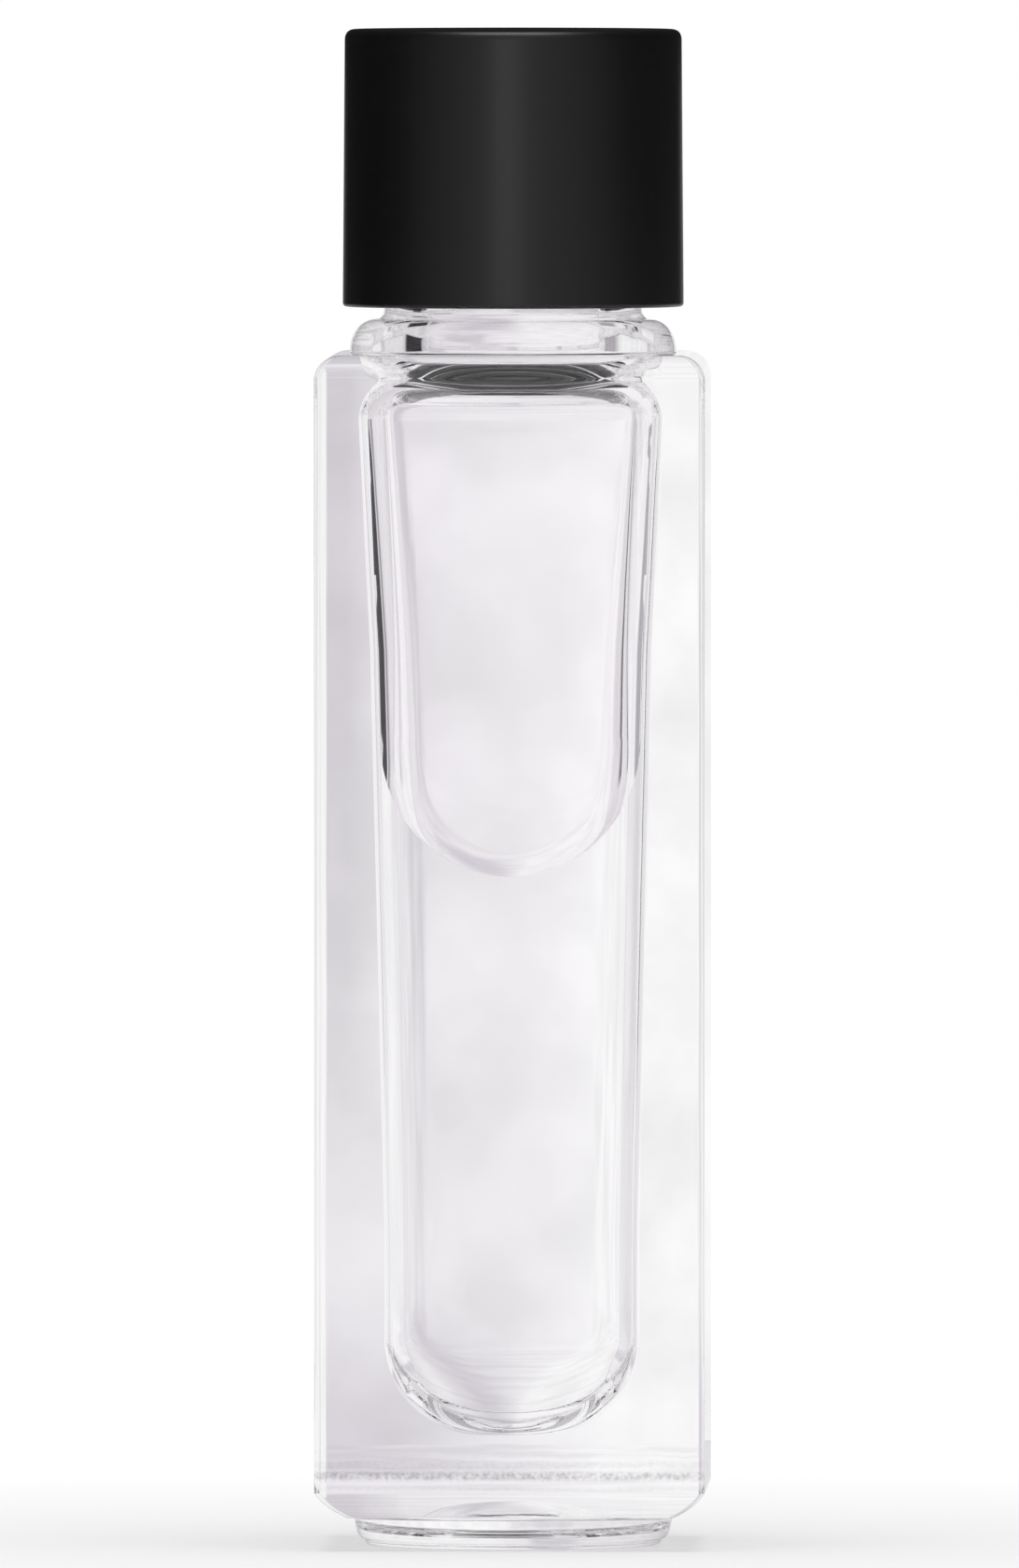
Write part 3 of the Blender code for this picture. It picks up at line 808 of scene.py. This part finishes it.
# studio
studio = {  # metres and degrees
    "floorColour": "#f2f1f4", "floorRadius": 0.9, "shadeReach": (0.02, 0.12), "shadeShare": 0.5,
    "white": "#ffffff", "tentRadius": 0.16, "tentHeight": 0.34, "cloud": 10.0,  # clouds in millimetres
    "worldColour": "#f6f6f8", "worldStrength": 0.5, "distance": 3.2, "azimuth": 1.2, "elevation": 1.5,
    "aim": (-0.00027, 0.0, 0.0551), "frameHeight": 0.1136,
    # tones of the white cloth, in degrees from straight behind round to the right
    "clothTones": ((-180, "#f4f2f5"), (-120, "#e6e3e7"), (-66, "#dcd9dd"), (-30, "#f0eef1"),
                   (-13, "#f1eff2"), (-4.5, "#f1eff2"), (-1, "#f7f6f8"), (2, "#ffffff"), (60, "#ffffff"),
                   (120, "#fbfafc"), (180, "#f4f2f5")),
    # a dark flag and a grey one stand on the left, a grey one on the right: how much light they leave
    "flagTones": ((-113, "#ffffff"), (-109, "#aaa7ac"), (-99, "#aaa7ac"), (-97, "#ffffff"),
                  (-94, "#ffffff"), (-91, "#2c292d"), (-54, "#2c292d"), (-50, "#ffffff"),
                  (50, "#ffffff"), (60, "#b4b1b6"), (84, "#b4b1b6"), (92, "#ffffff")),
    "flagHeights": (0.018, 0.024, 0.095),  # where it begins, where it is full and where it ends
    # painted shade on the cloth behind on the left, deeper higher up
    "foldTones": ((-15, "#ffffff"), (-11, "#e2e0e3"), (-5.7, "#e2e0e3"), (-4.5, "#ffffff")),
    "foldHeights": (0.005, 0.065, 0.25),
    # the foot of the cloth is in soft shade on the left
    "footTones": ((-24, "#ffffff"), (-9, "#e4e2e6"), (-5, "#e8e6ea"), (1, "#ffffff")),
    "footHeights": (0.014, 0.002, 0.02),
    # a gloss sees the cloth dimmed, but for the front, a bright strip before and behind, and low down
    "glossFront": (-0.16, -0.03), "glossTones": (0.6, 0.03),  # from the front wall backwards
    "glossLow": (0.045, 0.075), "glossBehindTop": 0.105,
    "stripBehind": 0.050, "stripBefore": 0.018, "stripEdge": 0.012,  # half widths, and the soft edge
    "bounces": 48,
    "lampAim": (0.0, 0.0, 0.06),
    # name, direction from the front in degrees, height, distance, width, tallness and watts
    "lamps": (("frontStrip", -4.4, 0.12, 0.9, 0.10, 0.4, 0.3), ("rightSoft", 80, 0.2, 0.6, 0.5, 0.4, 0.5),
              ("topSoft", 0, 0.8, 0.1, 0.5, 0.5, 3.0)),
    "notMirrored": ("rightSoft",),
}


def roundRamp(tree, turned, stopsOfTurn):  # colours by degrees from -180 to 180
    ramp = addNode(tree, "ShaderNodeValToRGB", {"Fac": turned})
    stops = ramp.color_ramp.elements
    while len(stops) < len(stopsOfTurn):
        stops.new(0.5)
    for stop, (degrees, tone) in zip(stops, stopsOfTurn):
        stop.position = degrees / 360 + 0.5
        stop.color = linearColour(tone)
    return ramp.outputs["Color"]


def clothTone(tree):  # soft tones of a white cloth lit from the right, with faint clouding
    parts = placeParts(tree)
    turned = mapField(tree, calculate(tree, "ARCTAN2", parts["X"], parts["Y"]), (-math.pi, math.pi))
    cloth = roundRamp(tree, turned, studio["clothTones"])
    # painted darkening of the cloth's glow: the flags, a shade behind on the left and a soft shade at the
    # foot
    for name in ("flag", "fold", "foot"):
        shade = roundRamp(tree, turned, studio[name + "Tones"])
        start, full, end = studio[name + "Heights"]
        there = calculate(tree, "MULTIPLY", mapField(tree, parts["Z"], (start, full)),
                          calculate(tree, "LESS_THAN", parts["Z"], end))
        if name == "flag":  # shows only in light that the inside of the glass mirrors
            depth = addNode(tree, "ShaderNodeLightPath").outputs["Glossy Depth"]
            there = calculate(tree, "MULTIPLY", there, calculate(tree, "MINIMUM", depth, 1.0))
        cloth = mixTones(tree, there, cloth, shade, "MULTIPLY")
    faint = mapField(tree, noiseField(tree, studio["cloud"], 4.0), (0.35, 0.65), (0.87, 1.0))
    tone = addNode(tree, "ShaderNodeVectorMath", {"operation": "SCALE", 0: cloth, "Scale": faint})
    return tone.outputs["Vector"]


def makeFloor():
    shape = bmesh.new()
    bmesh.ops.create_circle(shape, cap_ends=True, segments=96, radius=studio["floorRadius"])
    floor = pieceFromShape("floor", shape, [])
    material, tree, shader = startMaterial("white paper sweep", studio["floorColour"], {"Roughness": 0.9})
    fibres = noiseField(tree, 1.11, 4.0)
    tree.links.new(mixTones(tree, fibres, "#f0eff2", "#f5f4f6"), shader.inputs["Base Color"])
    light = addNode(tree, "ShaderNodeLightPath").outputs
    away = addNode(tree, "ShaderNodeVectorMath", {"operation": "LENGTH", 0: objectPlace(tree)})
    # the bottle's shade fades to plain white
    spread = mapField(tree, away.outputs["Value"], studio["shadeReach"], (studio["shadeShare"], 1.0))
    glow = addNode(tree, "ShaderNodeEmission", {"Color": linearColour(studio["white"]), "Strength": 1.0})
    plain = mixShaders(tree, light["Is Camera Ray"], shader, mixShaders(tree, spread, shader, glow))
    # through the glass the floor glows with the cloth's tones: its light from the right and its painted
    # shade
    cloth = addNode(tree, "ShaderNodeEmission", {"Color": clothTone(tree)})
    mixed = mixShaders(tree, light["Is Transmission Ray"], plain, cloth)
    tree.links.new(mixed.outputs[0], tree.nodes["Material Output"].inputs["Surface"])
    material.cycles.emission_sampling = "NONE"
    floor.data.materials.append(material)


def makeTent():  # a round light tent that only glass and gloss see
    shape = bmesh.new()
    steps = 96
    rows = []
    for height in (0.001, studio["tentHeight"]):
        row = []
        for step in range(steps):
            turn = 2 * math.pi * step / steps
            row.append(shape.verts.new((studio["tentRadius"] * math.cos(turn),
                                        studio["tentRadius"] * math.sin(turn), height)))
        rows.append(row)
    joinLoops(shape, rows[1], rows[0])
    shape.faces.new(rows[1])
    tent = pieceFromShape("lightTent", shape, [])
    material = bpy.data.materials.new("white tent cloth")
    material.use_nodes = True
    tree = material.node_tree
    tree.nodes.clear()
    light = addNode(tree, "ShaderNodeLightPath").outputs
    glossy, through = light["Is Glossy Ray"], light["Is Transmission Ray"]
    parts = placeParts(tree)
    around = mapField(tree, parts["Y"], studio["glossFront"], studio["glossTones"])
    low = mapField(tree, parts["Z"], studio["glossLow"], (1.0, 0.0))
    front = calculate(tree, "LESS_THAN", parts["Y"], 0.0)
    under = calculate(tree, "LESS_THAN", parts["Z"], studio["glossBehindTop"])
    wide = mapField(tree, front, (0.0, 1.0), (studio["stripBehind"], studio["stripBefore"]))
    edge = calculate(tree, "ADD", wide, studio["stripEdge"])
    strip = mapField(tree, calculate(tree, "ABSOLUTE", parts["X"]), (wide, edge), (1.0, 0.0))
    strip = calculate(tree, "MULTIPLY", strip, calculate(tree, "MAXIMUM", front, under))
    shown = calculate(tree, "MAXIMUM", around, calculate(tree, "MAXIMUM", low, strip))
    mirrored = calculate(tree, "GREATER_THAN", glossy, through)
    share = mapField(tree, mirrored, (0.0, 1.0), (1.0, shown))
    glow = addNode(tree, "ShaderNodeEmission", {"Color": clothTone(tree), "Strength": share})
    clear = addNode(tree, "ShaderNodeBsdfTransparent")
    mixed = mixShaders(tree, calculate(tree, "MAXIMUM", through, glossy), clear, glow)
    addNode(tree, "ShaderNodeOutputMaterial", {"Surface": mixed.outputs[0]})
    material.cycles.emission_sampling = "NONE"
    tent.data.materials.append(material)


def makeWorld():
    world = bpy.data.worlds.new("soft studio")
    world.use_nodes = True
    bpy.context.scene.world = world
    tree = world.node_tree
    tree.nodes.clear()
    soft = addNode(tree, "ShaderNodeBackground", {
        "Color": linearColour(studio["worldColour"]), "Strength": studio["worldStrength"]})
    white = addNode(tree, "ShaderNodeBackground", {"Color": linearColour(studio["white"]), "Strength": 1.0})
    mixed = mixShaders(tree, addNode(tree, "ShaderNodeLightPath").outputs["Is Camera Ray"], soft, white)
    addNode(tree, "ShaderNodeOutputWorld", {"Surface": mixed.outputs[0]})


def addLamp(name, azimuth, height, distance, width, tall, power):
    lamp = bpy.data.lights.new(name, "AREA")
    lamp.shape = "RECTANGLE"
    lamp.size = width
    lamp.size_y = tall
    lamp.energy = power
    holder = bpy.data.objects.new(name, lamp)
    bpy.context.scene.collection.objects.link(holder)
    turn = math.radians(azimuth)
    holder.location = (distance * math.sin(turn), -distance * math.cos(turn), height)
    lamp.cycles.use_multiple_importance_sampling = False
    toward = Vector(studio["lampAim"]) - holder.location
    holder.rotation_euler = toward.to_track_quat("-Z", "Z").to_euler()
    return holder


def makeCamera():
    camera = bpy.data.cameras.new("camera")
    holder = bpy.data.objects.new("camera", camera)
    bpy.context.scene.collection.objects.link(holder)
    around = math.radians(studio["azimuth"])
    up = math.radians(studio["elevation"])
    away = Vector((math.sin(around) * math.cos(up), -math.cos(around) * math.cos(up), math.sin(up)))
    holder.location = Vector(studio["aim"]) + away * studio["distance"]
    holder.rotation_euler = (-away).to_track_quat("-Z", "Y").to_euler()
    camera.sensor_width = 36.0
    camera.lens = 36.0 * studio["distance"] / studio["frameHeight"]
    camera.clip_start = 0.01
    bpy.context.scene.camera = holder


# build
makeCamera()
bottle = makeBottle(flintGlass(), wettedGlass())
print("glass bottle made")
toner = makeToner(clearToner(), tonerSurface())
print("toner and bubble made")
turning = turningTree()
capShell = makeCapShell(turning, satinBlackPlastic())
closure = closurePlastic()
innerCap = makeInnerCap(turning, closure)
capThread = makeCapThread(closure)
gripRibs = makeGripRibs(closure)
liner = makeLiner(turning, linerFoam())
insert = makeInsert(turning, naturalPolyethylene())
print("closure made")

for piece, body, nodes, slot in (
        (bottle, "bottle_body", ["bottle"], "clear_glass"),
        (toner, "bottle_body", ["toner"], "clear_toner"),
        (insert, "bottle_body", ["orifice_reducer"], "natural_plastic"),
        (liner, "liner_body", ["liner_disc"], "white_foam"),
        (innerCap, "cap_body", ["inner_cap"], "closure_plastic"),
        (capThread, "cap_body", [], "closure_plastic"),
        (gripRibs, "cap_body", [], "closure_plastic"),
        (capShell, "cap_body", ["cap_shell"], "black_shell")):
    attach(piece, body)
    if nodes:
        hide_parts(*nodes)

makeFloor()
makeTent()
makeWorld()
for lampName, *lampPlace in studio["lamps"]:
    addLamp(lampName, *lampPlace).visible_glossy = lampName not in studio["notMirrored"]
bpy.context.scene.view_settings.view_transform = "Standard"
light = bpy.context.scene.cycles  # thick glass mirrors light many times before letting it out
light.max_bounces = light.glossy_bounces = light.transmission_bounces = studio["bounces"]
print("studio made")
